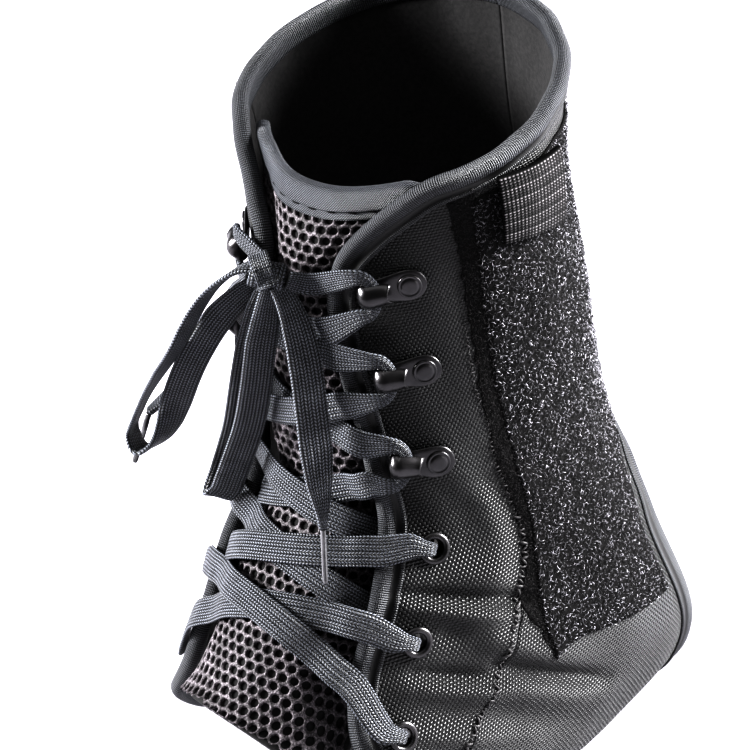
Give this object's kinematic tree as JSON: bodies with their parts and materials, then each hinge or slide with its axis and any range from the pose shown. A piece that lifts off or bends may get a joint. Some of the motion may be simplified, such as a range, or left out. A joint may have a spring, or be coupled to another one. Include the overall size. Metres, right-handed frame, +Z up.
{
  "type": "lace-up ankle brace",
  "caption": "Black woven ankle brace with an open heel and toe, padded mesh tongue, laced front with eyelets and hooks, and loop-pile side patches.",
  "frame": {"origin": "middle of the brace's box at the underside of the sole, without the free lace ends and bow loops", "axes": "+Z up along the leg, toes towards -Y, the wearer's left towards +X"},
  "size_m": [0.0943, 0.1344, 0.1998],
  "materials": {
    "mesh": "spacer mesh",
    "tape": "ribbed twill",
    "nylon": "coarse weave",
    "pile": "loop pile",
    "webbing": "ribbed webbing",
    "metal": "glossy black nickel",
    "lace": "flat braid",
    "aglet": "glossy"
  },
  "bodies": {
    "root": {"tongue": "mesh", "tongue_binding": "tape", "front_quarter_left": "nylon", "rear_quarter_left": "nylon", "edge_binding_left": "tape", "loop_patch_left": "pile", "strap_keeper_left": "webbing", "eyelet_left_1": "metal", "lace_hook_left_1": "metal", "hook_rivet_left_1": "metal", "eyelet_left_2": "metal", "lace_hook_left_2": "metal", "hook_rivet_left_2": "metal", "eyelet_left_3": "metal", "lace_hook_left_3": "metal", "hook_rivet_left_3": "metal", "front_quarter_right": "nylon", "rear_quarter_right": "nylon", "edge_binding_right": "tape", "loop_patch_right": "pile", "strap_keeper_right": "webbing", "eyelet_right_1": "metal", "lace_hook_right_1": "metal", "hook_rivet_right_1": "metal", "eyelet_right_2": "metal", "lace_hook_right_2": "metal", "hook_rivet_right_2": "metal", "eyelet_right_3": "metal", "lace_hook_right_3": "metal", "hook_rivet_right_3": "metal", "heel_binding": "tape", "lace": "lace", "bow_knot": "lace", "bow_loop_left": "lace", "bow_loop_right": "lace", "lace_end_left": "lace", "lace_end_right": "lace", "aglet_left": "aglet", "aglet_right": "aglet"}
  },
  "joints": []
}
